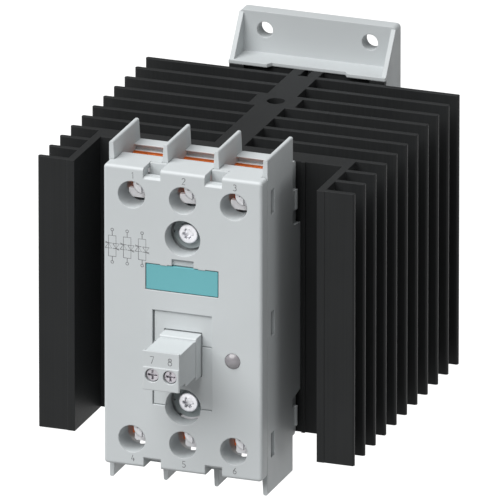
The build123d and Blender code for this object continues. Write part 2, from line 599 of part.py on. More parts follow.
    # ledges under the control board, snap slots for the cover, snap clips at the back
    for side in (-1, 1):
        ledge_x = mirrored((19.2, CAVITY_HALF + 0.1), side)
        slab(ledge_x, (BOARD[1], BOARD[1] + 1.8), around(0, 17.0))
        for z in SNAP_Z:
            slab(mirrored((20.0, 23.0), side), SNAP_SLOT, around(z, SNAP_SLOT_HALF), Mode.SUBTRACT)
        for clip_bottom in CLIP_BOTTOMS:
            clip_root = side * (REAR_STEP_HALF - 0.1)
            clip_tip = side * (MODULE_HALF + CLIP_BARB)
            with BuildSketch(Plane.XY.offset(clip_bottom)):
                Polygon(
                    (clip_root, row_y(HOUSING_BACK - 0.1)),
                    (side * MODULE_HALF, row_y(HOUSING_BACK - 0.1)),
                    (side * MODULE_HALF, row_y(CLIP_BACK - 1.5)),
                    (clip_tip, row_y(CLIP_BACK - 0.7)),
                    (clip_tip, row_y(CLIP_BACK)),
                    (clip_root, row_y(CLIP_BACK)),
                    align=None,
                )
            extrude(amount=CLIP_HEIGHT)
relay_housing.part.label = "relay_housing"
export_step(relay_housing.part, "parts/relay_housing.step")

# Front cover -----------------------------------------------------------------------------------
with BuildPart() as front_cover:
    slab(around(0, MODULE_HALF), (0, COVER_DEPTH), around(0, COVER_HALF_HEIGHT))
    fillet(front_cover.edges().filter_by(Axis.Y), COVER_CORNER_RADIUS)
    fillet(front_cover.faces().sort_by(Axis.Y)[0].edges(), COVER_EDGE_RADIUS)
    inside_z = COVER_HALF_HEIGHT - WALL
    slab(around(0, MODULE_HALF - WALL), (FRONT_WALL, COVER_DEPTH + 1), around(0, inside_z), Mode.SUBTRACT)
    for up in (-1, 1):
        for x in PHASE_X:
            tongue_z = mirrored((inside_z, COVER_HALF_HEIGHT), up)
            slab(around(x, TONGUE_HALF), (COVER_DEPTH - 0.1, TONGUE_BACK), tongue_z)
        for side in (-1, 1):
            # corner notch: a low front lip and a deeper pocket behind it
            notch_x = mirrored(NOTCH_X, side)
            wide_x = (notch_x[0] - 1.0, notch_x[1] + 1.0)
            slab(wide_x, (FRONT_WALL - 0.1, COVER_DEPTH), mirrored((NOTCH_BOSS_Z, inside_z + 0.1), up))
            slab(notch_x, (-1, NOTCH_BACK), mirrored((NOTCH_LIP_Z, COVER_HALF_HEIGHT + 1), up), Mode.SUBTRACT)
            pocket_z = mirrored((NOTCH_FLOOR_Z, COVER_HALF_HEIGHT + 1), up)
            slab(notch_x, (NOTCH_LIP_BACK, NOTCH_BACK), pocket_z, Mode.SUBTRACT)
            lip = front_cover.edges().filter_by(Axis.X).filter_by(
                lambda edge: abs(edge.center().Z - up * NOTCH_LIP_Z) < 0.05
                and abs(edge.center().Y - row_y(0)) < 0.05
                and edge.center().X * side > 0
            )
            chamfer(lip, NOTCH_CHAMFER)
    slab(WINDOW_X, (-1, 5), WINDOW_Z, Mode.SUBTRACT)
    # the label's seat, in a thickened wall, with a narrow moat round it
    seat_x = (LABEL_X[0] + LABEL_GAP, LABEL_X[1] - LABEL_GAP)
    seat_z = (LABEL_Z[0] + LABEL_GAP, LABEL_Z[1] - LABEL_GAP)
    boss = (FRONT_WALL - 0.1, LABEL_MOAT_DEPTH + 0.7)
    slab((LABEL_X[0] - 0.8, LABEL_X[1] + 0.8), boss, (LABEL_Z[0] - 0.8, LABEL_Z[1] + 0.8))
    slab(LABEL_X, (-1, LABEL_MOAT_DEPTH), LABEL_Z, Mode.SUBTRACT)
    slab(seat_x, (LABEL_SEAT_DEPTH, LABEL_MOAT_DEPTH + 0.1), seat_z)
    slab(around(0, TAB_HALF), (-1, TAB_DEPTH), (LABEL_Z[1] - 0.1, TAB_TOP), Mode.SUBTRACT)
    # two nubs that hold the label's upper edge
    for side in (-1, 1):
        nub_z = (LABEL_Z[1] - LABEL_GAP + 0.03, LABEL_Z[1] + 0.1)
        slab(mirrored(LABEL_NUB_X, side), (0, LABEL_SEAT_DEPTH), nub_z)
    for up in (-1, 1):
        for x in PHASE_X:
            rod(x, up * TERMINAL_Z, (FRONT_WALL - 0.1, DRIVER_TUBE_DEPTH), DRIVER_TUBE_RADIUS)
            rod(x, up * TERMINAL_Z, (-1, DRIVER_TUBE_DEPTH + 1), DRIVER_HOLE_RADIUS, Mode.SUBTRACT)
        rod(0, up * FIXING_Z, (FRONT_WALL - 0.1, 5.0), FIXING_CUP_RADIUS)
        rod(0, up * FIXING_Z, (-1, 6), FIXING_RECESS_RADIUS, Mode.SUBTRACT)
    rod(LENS_X, LENS_Z, (-1, 3), LENS_RADIUS + 0.08, Mode.SUBTRACT)
    # snap hooks
    for side in (-1, 1):
        for z in SNAP_Z:
            slab(mirrored(SNAP_ARM, side), (FRONT_WALL - 0.1, SNAP_HOOK[1]), around(z, SNAP_HOOK_HALF))
            hook_x = mirrored((SNAP_ARM[1] - 0.1, SNAP_HOOK_X), side)
            slab(hook_x, SNAP_HOOK, around(z, SNAP_HOOK_HALF))
front_cover.part.label = "front_cover"
export_step(front_cover.part, "parts/front_cover.step")

with BuildPart() as label_plate:
    slab(seat_x, (LABEL_SEAT_DEPTH - LABEL_THICKNESS, LABEL_SEAT_DEPTH), seat_z)
    fillet(label_plate.edges().filter_by(Axis.Y), 0.15)
label_plate.part.label = "label_plate"
export_step(label_plate.part, "parts/label_plate.step")

with BuildPart() as control_insert:
    lower_x = (WINDOW_X[0] + WINDOW_GAP, WINDOW_X[1] - WINDOW_THIN_GAP)
    upper_x = (WINDOW_X[0] + WINDOW_WIDE_GAP, WINDOW_X[1] - WINDOW_THIN_GAP)
    upper_z = (WINDOW_STEP_Z + WINDOW_GAP, WINDOW_Z[1] - WINDOW_THIN_GAP)
    ledge_x = (WINDOW_X[0] - 1.0, WINDOW_X[1] + 1.0)
    slab(lower_x, (LOWER_PLATE_FRONT, FRONT_WALL - 0.15), (WINDOW_Z[0] + WINDOW_GAP, WINDOW_STEP_Z))
    slab(lower_x, (LOWER_PLATE_FRONT, INSERT_BACK), (WINDOW_STEP_Z - 1.0, WINDOW_STEP_Z))
    slab(upper_x, (UPPER_PLATE_FRONT, INSERT_BACK), upper_z)
    slab(ledge_x, (1.8, INSERT_BACK), (WINDOW_STEP_Z - 1.0, WINDOW_Z[1] + 1.0))
    slab(around(0, SOCKET_HALF + 0.8), (1.8, SOCKET_FLOOR[1]), (SOCKET_Z[0] - 0.8, SOCKET_Z[1] + 0.8))
    slab(around(0, SOCKET_HALF), (-1, SOCKET_STEP), SOCKET_Z, Mode.SUBTRACT)
    nose_room_z = (NOSE_Z[0] - 0.25, NOSE_Z[1] + 0.25)
    slab(around(0, NOSE_HALF + 0.25), (-1, SOCKET_FLOOR[0]), nose_room_z, Mode.SUBTRACT)
    rod(0, -FIXING_Z, (-1, 5), FIXING_RECESS_RADIUS, Mode.SUBTRACT)
    for side in (-1, 1):
        slab(around(side * PLUG_PIN_X, 0.55), (7, 9), around(PLUG_PIN_Z, 0.55), Mode.SUBTRACT)
control_insert.part.label = "control_insert"
export_step(control_insert.part, "parts/control_insert.step")

with BuildPart() as light_lens:
    rod(LENS_X, LENS_Z, (-LENS_HEIGHT, 1.0), LENS_RADIUS)
    dome_radius = (LENS_RADIUS**2 + LENS_HEIGHT**2) / (2 * LENS_HEIGHT)
    with Locations((LENS_X, row_y(dome_radius - LENS_HEIGHT), LENS_Z)):
        Sphere(dome_radius, mode=Mode.INTERSECT)
    rod(LENS_X, LENS_Z, (0.9, 1.8), LENS_RADIUS)
    rod(LENS_X, LENS_Z, (1.7, 2.4), 2.8)
    rod(LENS_X, LENS_Z, (2.0, 10.6), 1.6)
light_lens.part.label = "light_lens"
export_step(light_lens.part, "parts/light_lens.step")

with BuildPart() as fixing_screws:
    for z in (-FIXING_Z, FIXING_Z):
        rod(0, z, (FIXING_HEAD_FRONT, WASHER_FRONT), FIXING_HEAD_RADIUS)
        rod(0, z, (WASHER_FRONT - 0.1, FIXING_TIP_DEPTH), FIXING_SCREW_RADIUS)
    fillet(fixing_screws.edges().filter_by(GeomType.CIRCLE).group_by(Axis.Y)[0], 0.5)
    for z in (-FIXING_Z, FIXING_Z):
        # six-lobed driver recess
        with BuildSketch(front_plane(FIXING_HEAD_FRONT - 0.1)):
            with Locations((0, z)):
                Circle(LOBE_INNER_RADIUS)
                with PolarLocations(LOBE_CENTRE_RADIUS, 6):
                    Circle(LOBE_RADIUS)
        extrude(amount=-LOBE_DEPTH, mode=Mode.SUBTRACT)
fixing_screws.part.label = "fixing_screws"
export_step(fixing_screws.part, "parts/fixing_screws.step")

with BuildPart() as fixing_washers:
    for z in (-FIXING_Z, FIXING_Z):
        rod(0, z, (WASHER_FRONT, WASHER_BACK), WASHER_RADIUS)
        rod(0, z, (WASHER_FRONT - 1, WASHER_BACK + 1), FIXING_SCREW_RADIUS + 0.1, Mode.SUBTRACT)
        for side in (-1, 1):
            nick_x = around(side * WASHER_RADIUS, 0.5)
            slab(nick_x, (WASHER_FRONT - 1, WASHER_BACK + 1), around(z, 0.4), Mode.SUBTRACT)
fixing_washers.part.label = "fixing_washers"
export_step(fixing_washers.part, "parts/fixing_washers.step")

# Control board ---------------------------------------------------------------------------------
with BuildPart() as control_board:
    slab(around(0, BOARD_HALF_WIDTH), BOARD, around(0, BOARD_HALF_HEIGHT))
    fillet(control_board.edges().filter_by(Axis.Y), 1.0)
control_board.part.label = "control_board"
export_step(control_board.part, "parts/control_board.step")

with BuildPart() as optocouplers:
    for x in COUPLER_X:
        slab(around(x, 2.3), (9.6, 12.1), around(COUPLER_Z, 3.2))
        for leg_x in (x - COUPLER_PIN_X, x + COUPLER_PIN_X):
            slab(around(leg_x, 0.3), (10.6, BOARD[0]), around(COUPLER_Z, 4.2))
optocouplers.part.label = "optocouplers"
export_step(optocouplers.part, "parts/optocouplers.step")

with BuildPart() as board_components:
    for x, z, radius, front in (CAPACITOR, VARISTOR):
        rod(x, z, (front, BOARD[0]), radius)
    slab(around(REGULATOR[0], 2.1), (10.5, BOARD[0]), around(REGULATOR[1], 1.6))
    for column in range(4):
        slab(around(RESISTOR_X + RESISTOR_PITCH * column, 0.8), (12.0, BOARD[0]), around(RESISTOR_Z, 1.6))
board_components.part.label = "board_components"
export_step(board_components.part, "parts/board_components.step")

with BuildPart() as status_led:
    slab(around(LENS_X, 1.6), (11.0, BOARD[0]), around(LENS_Z, 1.4))
status_led.part.label = "status_led"
export_step(status_led.part, "parts/status_led.step")

with BuildPart() as header_pins:
    for side in (-1, 1):
        slab(around(side * PLUG_PIN_X, 0.5), (1.0, BOARD[0]), around(PLUG_PIN_Z, 0.5))
header_pins.part.label = "header_pins"
export_step(header_pins.part, "parts/header_pins.step")

with BuildPart() as gate_pins:
    for x in PHASE_X:
        for side in (-1, 1):
            rod(x + side * GATE_PIN_X, 0, (BOARD[1], SUBSTRATE_FRONT), GATE_PIN_RADIUS)
gate_pins.part.label = "gate_pins"
export_step(gate_pins.part, "parts/gate_pins.step")

# Control plug ----------------------------------------------------------------------------------
with BuildPart() as plug_body:
    # collar at the back, with a bevel along its upper front edge
    slab(around(0, PLUG_HALF), (PLUG_COLLAR_FRONT, PLUG_BODY_BACK), PLUG_COLLAR_Z)
    upper_edge = plug_body.edges().filter_by(Axis.X).group_by(Axis.Y)[0].sort_by(Axis.Z)[-1]
    chamfer(upper_edge, 0.25)
    # front lid, a little larger than the body behind it, with its upper half set back
    slab(around(0, PLUG_HALF), (PLUG_FRONT, PLUG_LID_BACK), PLUG_Z)
    lid_sides = plug_body.edges().filter_by(Axis.Z).group_by(Axis.Y)[0]
    chamfer(lid_sides, 0.25)
    slab(around(0, PLUG_HALF + 1), (PLUG_FRONT - 1, PLUG_FRONT + 0.2), (PLUG_LINE_Z, 0), Mode.SUBTRACT)
    body_back = PLUG_COLLAR_FRONT - PLUG_GROOVE
    slab(around(0, PLUG_HALF - 0.15), (PLUG_LID_BACK - 0.1, body_back), PLUG_BODY_Z)
    neck_z = (PLUG_BODY_Z[0], PLUG_BODY_Z[1] - PLUG_NECK_DROP)
    slab(around(0, PLUG_HALF - 0.15), (body_back - 0.1, PLUG_COLLAR_FRONT + 0.1), neck_z)
    slab(around(0, PLUG_HALF), (PLUG_LID_BACK, PLUG_CUT_BACK), (PLUG_Z[0] - 1, PLUG_CUT_Z), Mode.SUBTRACT)
    slab(around(0, NOSE_HALF), (PLUG_BODY_BACK - 0.1, PLUG_NOSE_BACK), NOSE_Z)
    for side in (-1, 1):
        x = side * PLUG_PIN_X
        rod(x, PLUG_SCREW_Z, (PLUG_FRONT - 1, PLUG_HEAD_BORE[1]), PLUG_HEAD_BORE[0], Mode.SUBTRACT)
        rod(x, PLUG_SCREW_Z, (PLUG_HEAD_BORE[1] - 0.3, PLUG_SHANK_BORE[1]), PLUG_SHANK_BORE[0], Mode.SUBTRACT)
        slab(around(x, CAGE_ROOM[0]), CAGE_ROOM[1:], CAGE_ROOM_Z, Mode.SUBTRACT)
        slab(around(x, WIRE_HOLE[0]), WIRE_HOLE[1:], (PLUG_Z[0] - 1.6, CAGE_ROOM_Z[0] + 0.2), Mode.SUBTRACT)
        contact_room = (CONTACT_ROOM[1], PLUG_NOSE_BACK + 1)
        slab(around(x, CONTACT_ROOM[0]), contact_room, CONTACT_ROOM_Z, Mode.SUBTRACT)
plug_body.part.label = "plug_body"
export_step(plug_body.part, "parts/plug_body.step")

with BuildPart() as plug_contacts:
    for side in (-1, 1):
        x = side * PLUG_PIN_X
        slab(around(x, 1.0), (-7.6, -6.9), (-12.1, -3.6))
        slab(around(x, 1.0), (-7.0, 6.5), around(PLUG_PIN_Z, 1.0))
        slab(around(x, 0.6), (-6.0, 7), around(PLUG_PIN_Z, 0.6), Mode.SUBTRACT)
plug_contacts.part.label = "plug_contacts"
export_step(plug_contacts.part, "parts/plug_contacts.step")

for number, side in enumerate((-1, 1), 1):
    x = side * PLUG_PIN_X
    with BuildPart() as plug_cage:
        slab(around(x, CAGE_HALF), CAGE, CAGE_Z)
        cage_hole = (CAGE[0] + CAGE_WALL, CAGE[1] - CAGE_WALL)
        slab(around(x, CAGE_HALF - CAGE_WALL / 2), cage_hole, (CAGE_Z[0] - 1, CAGE_Z[1] + 1), Mode.SUBTRACT)
        rod(x, PLUG_SCREW_Z, (CAGE[0] - 1, CAGE[0] + CAGE_WALL), PLUG_SHANK_RADIUS + 0.05, Mode.SUBTRACT)
    plug_cage.part.label = f"plug_cage_{number}"
    export_step(plug_cage.part, f"parts/plug_cage_{number}.step")

    with BuildPart() as plug_screw:
        rod(x, PLUG_SCREW_Z, PLUG_SCREW[:2], PLUG_HEAD_RADIUS)
        rod(x, PLUG_SCREW_Z, PLUG_SCREW[1:], PLUG_SHANK_RADIUS)
        cross = (PLUG_SCREW[0] - 1, PLUG_SCREW[0] + 1)
        slab(around(x, 1.35), cross, around(PLUG_SCREW_Z, 0.3), Mode.SUBTRACT)
        slab(around(x, 0.3), cross, around(PLUG_SCREW_Z, 1.35), Mode.SUBTRACT)
    plug_screw.part.label = f"plug_screw_{number}"
    export_step(plug_screw.part, f"parts/plug_screw_{number}.step")
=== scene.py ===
"""Looks for the solid state relay: materials, printed marks, floor, light and camera.

Every length is in metres in the row frame: +Z up, the relay's front looks along -Y, and the origin is the
centre of the rear mounting plane. The printed marks are the only new pieces; they lie on the CAD faces.
"""
import json
import math

import bpy
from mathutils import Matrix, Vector


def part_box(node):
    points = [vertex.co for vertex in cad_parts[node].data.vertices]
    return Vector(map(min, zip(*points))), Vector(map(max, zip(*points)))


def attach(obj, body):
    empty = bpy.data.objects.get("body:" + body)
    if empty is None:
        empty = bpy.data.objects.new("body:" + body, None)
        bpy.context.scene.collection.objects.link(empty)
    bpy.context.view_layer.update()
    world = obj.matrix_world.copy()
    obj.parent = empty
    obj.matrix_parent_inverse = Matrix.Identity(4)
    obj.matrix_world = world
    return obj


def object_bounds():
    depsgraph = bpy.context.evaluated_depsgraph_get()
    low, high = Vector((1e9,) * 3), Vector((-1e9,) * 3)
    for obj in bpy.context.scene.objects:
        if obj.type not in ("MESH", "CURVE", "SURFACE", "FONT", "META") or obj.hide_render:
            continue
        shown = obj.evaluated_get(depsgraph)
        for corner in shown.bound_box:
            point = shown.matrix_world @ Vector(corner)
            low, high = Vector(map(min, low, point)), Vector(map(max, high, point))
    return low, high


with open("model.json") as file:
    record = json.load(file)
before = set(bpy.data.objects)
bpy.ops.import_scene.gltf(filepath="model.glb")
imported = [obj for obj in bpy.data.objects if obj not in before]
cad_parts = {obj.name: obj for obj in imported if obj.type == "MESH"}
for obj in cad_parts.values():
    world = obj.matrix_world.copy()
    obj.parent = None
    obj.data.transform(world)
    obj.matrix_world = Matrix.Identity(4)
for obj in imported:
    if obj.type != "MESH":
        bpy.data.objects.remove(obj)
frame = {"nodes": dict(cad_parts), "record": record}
cad_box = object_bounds()
NODES = frame["nodes"]
MM = 0.001

# Camera: a very long lens, so that the view is almost parallel
AZIMUTH = math.radians(20)
ELEVATION = math.radians(20)
LENS = 1600.0
SENSOR = 36.0
VIEW_WIDTH = 133.55 * MM
AIM_RIGHT = 18.0 * MM
AIM_UP = 19.6 * MM
CLIP_START = 0.1

# Places on the relay's front
FRONT_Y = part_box("front_cover")[0].y
PRINT_HEIGHT = 0.02 * MM
PRINT_STROKE = 0.20 * MM
TERMINAL_ROWS = (("line", 40.3 * MM), ("load", -40.2 * MM))
TERMINAL_MARK_SIZE = 1.75 * MM
TERMINAL_MARK_SHIFT = 0.3 * MM
PLUG_MARK_SIZE = 2.05 * MM
PLUG_MARK_DROP = 2.45 * MM
SYMBOL_X = (-20.0 * MM, -15.75 * MM, -11.5 * MM)
SYMBOL_Z = (15.0 * MM, 24.2 * MM)
SYMBOL_STROKE = 0.17 * MM
SYMBOL_CIRCLE_RADIUS = 0.38 * MM
SYMBOL_BOX_INSET = (1.6 * MM, 1.7 * MM)
SYMBOL_BOX_HALF = 1.07 * MM
SYMBOL_WING = 0.92 * MM
SYMBOL_TRIANGLE_HEIGHT = 1.45 * MM
SYMBOL_GATE_RISE = 0.35 * MM
PLUG_MARK_STEP = 0.2 * MM

# Stage
FLOOR_SIZE = 60.0
FLOOR_DROP = 300.0 * MM
WORLD_STRENGTH = 0.27
HOUSING_COLOUR = (0.520, 0.548, 0.558)
INK_COLOUR = (0.085, 0.085, 0.090)


# Node helpers ------------------------------------------------------------------------------------
class Shader:
    """A material's node tree, with short ways to add and join its nodes."""

    def __init__(self, name):
        self.material = bpy.data.materials.new(name)
        self.material.use_nodes = True
        self.nodes = self.material.node_tree.nodes
        self.links = self.material.node_tree.links
        self.bsdf = self.nodes["Principled BSDF"]
        self.place = self.add("ShaderNodeTexCoord").outputs["Object"]

    def add(self, kind, **settings):
        node = self.nodes.new(kind)
        for key, value in settings.items():
            setattr(node, key, value)
        return node

    def noise(self, scale, detail=2.0, roughness=0.5, stretch=(1, 1, 1), shift=(0, 0, 0)):
        """A noise pattern in object space; scale is in features per metre, and stretch draws them out."""
        mapping = self.add("ShaderNodeMapping")
        mapping.inputs["Scale"].default_value = [1.0 / part for part in stretch]
        mapping.inputs["Location"].default_value = shift
        self.links.new(self.place, mapping.inputs["Vector"])
        noise = self.add("ShaderNodeTexNoise")
        noise.inputs["Scale"].default_value = scale
        noise.inputs["Detail"].default_value = detail
        noise.inputs["Roughness"].default_value = roughness
        self.links.new(mapping.outputs["Vector"], noise.inputs["Vector"])
        return noise.outputs["Fac"]

    def levels(self, value, low, high, out_low, out_high):
        """Maps a value from one range to another, clamped."""
        node = self.add("ShaderNodeMapRange")
        node.inputs["From Min"].default_value = low
        node.inputs["From Max"].default_value = high
        node.inputs["To Min"].default_value = out_low
        node.inputs["To Max"].default_value = out_high
        self.links.new(value, node.inputs["Value"])
        return node.outputs["Result"]

    def mix(self, amount, first, second):
        """Mixes two colours, each a tuple or a socket."""
        node = self.add("ShaderNodeMix", data_type="RGBA")
        for key, value in (("A", first), ("B", second)):
            socket = [s for s in node.inputs if s.name == key and s.type == "RGBA"][0]
            if isinstance(value, tuple):
                socket.default_value = (*value, 1.0)
            else:
                self.links.new(value, socket)
        factor = [s for s in node.inputs if s.name == "Factor" and s.type == "VALUE"][0]
        self.links.new(amount, factor)
        return [s for s in node.outputs if s.type == "RGBA"][0]

    def edges(self, radius):
        """The rounded normal of a bevel of this radius, and a mask that is bright on the edges, used to paint edge
        highlights.
        """
        bevel = self.add("ShaderNodeBevel", samples=6)
        bevel.inputs["Radius"].default_value = radius
        geometry = self.add("ShaderNodeNewGeometry")
        dot = self.add("ShaderNodeVectorMath", operation="DOT_PRODUCT")
        self.links.new(bevel.outputs["Normal"], dot.inputs[0])
        self.links.new(geometry.outputs["Normal"], dot.inputs[1])
        mask = self.levels(dot.outputs["Value"], 0.99, 0.80, 0.0, 1.0)
        return bevel.outputs["Normal"], mask

    def bump(self, height, strength, distance, normal=None):
        node = self.add("ShaderNodeBump")
        node.inputs["Strength"].default_value = strength
        node.inputs["Distance"].default_value = distance
        self.links.new(height, node.inputs["Height"])
        if normal is not None:
            self.links.new(normal, node.inputs["Normal"])
        return node.outputs["Normal"]

    def colour(self, socket):
        self.links.new(socket, self.bsdf.inputs["Base Color"])

    def set(self, **values):
        for key, value in values.items():
            self.bsdf.inputs[key.replace("_", " ")].default_value = value


def scaled(colour, factor):
    """A colour made lighter or darker."""
    return tuple(min(1.0, part * factor) for part in colour)


def plastic(name, colour, roughness, grain, edge_radius, specular=0.4):
    """Moulded plastic: faint flow shading, eroded grain, softly rounded edges with a painted highlight along them.
    """
    shader = Shader(name)
    rounded, edge_highlight = shader.edges(edge_radius)
    cloud = shader.noise(35.0, 3.0)
    base = shader.mix(shader.levels(cloud, 0.3, 0.7, 0.0, 1.0), scaled(colour, 0.965), scaled(colour, 1.025))
    # painted highlight: the colour is lifted along the edges by the bevel edge mask
    shader.colour(shader.mix(shader.levels(edge_highlight, 0.0, 1.0, 0.0, 0.35), base, scaled(colour, 1.06)))
    rough = shader.noise(260.0, 2.0, shift=(3, 1, 2))
    shader.links.new(shader.levels(rough, 0.3, 0.7, roughness - 0.05, roughness + 0.06),
                     shader.bsdf.inputs["Roughness"])
    fine = shader.noise(grain, 3.0, 0.6)
    shader.links.new(shader.bump(fine, 0.22, 0.012 * MM, rounded), shader.bsdf.inputs["Normal"])
    shader.set(Specular_IOR_Level=specular)
    return shader.material


def anodised(name):
    """Black anodised extrusion: die lines along Z, fine matt etch, edges painted a little lighter as a painted
    highlight.
    """
    shader = Shader(name)
    rounded, edge_highlight = shader.edges(0.25 * MM)
    lines = shader.noise(2600.0, 2.0, stretch=(1, 1, 160))
    etch = shader.noise(5200.0, 2.0)
    cloud = shader.noise(45.0, 3.0)
    base = shader.mix(shader.levels(cloud, 0.3, 0.7, 0.0, 1.0), (0.0150, 0.0158, 0.0162), (0.0190, 0.0200, 0.0205))
    lined = shader.mix(shader.levels(lines, 0.35, 0.65, 0.0, 0.35), base, (0.0240, 0.0250, 0.0255))
    # painted highlight: the edge mask lightens the colour along every edge
    shader.colour(shader.mix(shader.levels(edge_highlight, 0.0, 1.0, 0.0, 0.30), lined, (0.060, 0.063, 0.066)))
    shader.links.new(shader.levels(etch, 0.3, 0.7, 0.42, 0.56), shader.bsdf.inputs["Roughness"])
    first = shader.bump(lines, 0.25, 0.006 * MM, rounded)
    shader.links.new(shader.bump(etch, 0.18, 0.004 * MM, first), shader.bsdf.inputs["Normal"])
    shader.set(Specular_IOR_Level=0.12)
    return shader.material


def metal(name, colour, roughness, brushed=(1, 1, 1), grain=1800.0, stain=None, metallic=1.0):
    """Bare or plated metal: fine drawn lines, patchy tarnish, edges painted brighter as a painted highlight."""
    shader = Shader(name)
    rounded, edge_highlight = shader.edges(0.12 * MM)
    patch = shader.noise(220.0, 3.0)
    lines = shader.noise(grain, 2.0, stretch=brushed)
    dull = stain or scaled(colour, 0.78)
    base = shader.mix(shader.levels(patch, 0.35, 0.7, 0.0, 0.8), colour, dull)
    # painted highlight: the edge mask brightens the colour along every edge
    shader.colour(shader.mix(shader.levels(edge_highlight, 0.0, 1.0, 0.0, 0.5), base, scaled(colour, 1.2)))
    shader.links.new(shader.levels(lines, 0.3, 0.7, roughness - 0.07, roughness + 0.10),
                     shader.bsdf.inputs["Roughness"])
    shader.links.new(shader.bump(lines, 0.15, 0.006 * MM, rounded), shader.bsdf.inputs["Normal"])
    shader.set(Metallic=metallic)
    return shader.material


def smoked_lens():
    """The light guide's dome: smoky clear plastic with a faint haze."""
    shader = Shader("smoked_lens")
    haze = shader.noise(600.0, 2.0)
    amount = shader.levels(haze, 0.3, 0.7, 0.0, 1.0)
    shader.colour(shader.mix(amount, (0.300, 0.286, 0.304), (0.350, 0.332, 0.352)))
    shader.links.new(shader.levels(haze, 0.3, 0.7, 0.16, 0.26), shader.bsdf.inputs["Roughness"])
    shader.set(Specular_IOR_Level=0.5, Transmission_Weight=0.25, Coat_Weight=0.4)
    return shader.material


def printed(name, colour):
    """Pad-printed ink, slightly uneven."""
    shader = Shader(name)
    patch = shader.noise(2500.0, 2.0)
    shader.colour(shader.mix(shader.levels(patch, 0.3, 0.7, 0.0, 1.0), scaled(colour, 0.9), scaled(colour, 1.15)))
    shader.links.new(shader.levels(patch, 0.3, 0.7, 0.5, 0.65), shader.bsdf.inputs["Roughness"])
    return shader.material


def circuit_board():
    """Green solder mask over a faint track pattern."""
    shader = Shader("circuit_board")
    rounded = shader.edges(0.1 * MM)[0]
    tracks = shader.add("ShaderNodeTexBrick")
    tracks.inputs["Scale"].default_value = 260.0
    tracks.inputs["Mortar Size"].default_value = 0.05
    tracks.inputs["Color1"].default_value = (0.010, 0.105, 0.040, 1)
    tracks.inputs["Color2"].default_value = (0.012, 0.130, 0.050, 1)
    tracks.inputs["Mortar"].default_value = (0.030, 0.210, 0.085, 1)
    turned = shader.add("ShaderNodeMapping")
    turned.inputs["Rotation"].default_value = (math.pi / 2, 0, 0)
    shader.links.new(shader.place, turned.inputs["Vector"])
    shader.links.new(turned.outputs["Vector"], tracks.inputs["Vector"])
    shader.colour(tracks.outputs["Color"])
    shader.links.new(rounded, shader.bsdf.inputs["Normal"])
    shader.set(Roughness=0.3)
    return shader.material


def make_materials():
    return {
        "housing_grey": plastic("housing_grey", HOUSING_COLOUR, 0.50, 5200.0, 0.30 * MM),
        "adapter_grey": plastic("adapter_grey", scaled(HOUSING_COLOUR, 0.87), 0.55, 3600.0, 0.35 * MM),
        "latch_grey": plastic("latch_grey", (0.23, 0.24, 0.25), 0.5, 4200.0, 0.30 * MM),
        "label_teal": plastic("label_teal", (0.133, 0.395, 0.430), 0.42, 6000.0, 0.15 * MM),
        "black_epoxy": plastic("black_epoxy", (0.020, 0.020, 0.021), 0.55, 6000.0, 0.15 * MM),
        "led_body": plastic("led_body", (0.75, 0.75, 0.70), 0.35, 6000.0, 0.10 * MM),
        "ceramic": plastic("ceramic", (0.78, 0.78, 0.75), 0.30, 8000.0, 0.08 * MM),
        "pad": plastic("pad", (0.40, 0.41, 0.43), 0.75, 5000.0, 0.05 * MM),
        "anodised": anodised("anodised"),
        "copper": metal("copper", (0.80, 0.21, 0.05), 0.55, brushed=(1, 1, 40), stain=(0.50, 0.12, 0.03)),
        "zinc_steel": metal("zinc_steel", (0.88, 0.88, 0.91), 0.38),
        "nickel_plate": metal("nickel_plate", (0.62, 0.60, 0.56), 0.30, brushed=(40, 1, 1)),
        # the washers' grey is set darker than the housing grey to paint the shade of the fixing recess they sit in
        "washer_grey": plastic("washer_grey", (0.335, 0.375, 0.380), 0.50, 5200.0, 0.15 * MM),
        "satin_zinc": metal("satin_zinc", (0.82, 0.82, 0.84), 0.60, metallic=0.45),
        "plain_steel": metal("plain_steel", (0.52, 0.50, 0.53), 0.42),
        "silicon": metal("silicon", (0.16, 0.16, 0.19), 0.22),
        "lens": smoked_lens(),
        "board": circuit_board(),
    }


def dress_nodes(materials):
    """Gives each CAD node the material of its slot in the record."""
    slot_of = {part["node"]: part["material_slot"] for part in frame["record"]["subparts"]}
    for name, node in NODES.items():
        node.data.materials.clear()
        node.data.materials.append(materials[slot_of[name]])


# Printed marks -----------------------------------------------------------------------------------
def arc(cx, cz, radius, start, stop, steps=10):
    """Points round a circle, in glyph units, from one angle to another in degrees."""
    angles = [math.radians(start + (stop - start) * step / steps) for step in range(steps + 1)]
    return [(cx + radius * math.cos(angle), cz + radius * math.sin(angle)) for angle in angles]


# Stroke digits 6 units tall; each is (width, strokes)
GLYPHS = {
    "1": (2.0, [[(0.3, 4.6), (1.4, 6.0), (1.4, 0.0)]]),
    "2": (3.0, [arc(1.5, 4.5, 1.5, 170, -35) + [(0.0, 0.0), (3.0, 0.0)]]),
    "3": (3.0, [arc(1.5, 4.55, 1.4, 150, -90) + arc(1.5, 1.6, 1.6, 90, -150)]),
    "4": (3.0, [[(1.4, 6.0), (0.0, 1.9), (3.0, 1.9)], [(2.1, 3.4), (2.1, 0.0)]]),
    "5": (3.0, [[(2.8, 6.0), (0.4, 6.0), (0.3, 3.2)] + arc(1.3, 1.9, 1.7, 100, -140)]),
    "6": (3.0, [[(2.3, 6.0), (0.35, 2.9)] + arc(1.5, 1.6, 1.5, 150, -210)]),
    "7": (3.0, [[(0.0, 6.0), (3.0, 6.0), (1.0, 0.0)]]),
    "8": (3.0, [arc(1.5, 4.55, 1.35, 90, 450) + arc(1.5, 1.6, 1.6, 90, 450)]),
}
GLYPH_HEIGHT = 6.0


def digit(number, x, z, height):
    """Strokes of one plain digit, centred on (x, z), in metres."""
    unit = height / GLYPH_HEIGHT
    width, lines = GLYPHS[str(number)]
    left, bottom = x - width / 2 * unit, z - GLYPH_HEIGHT / 2 * unit
    return [[(left + px * unit, bottom + pz * unit) for px, pz in line] for line in lines]


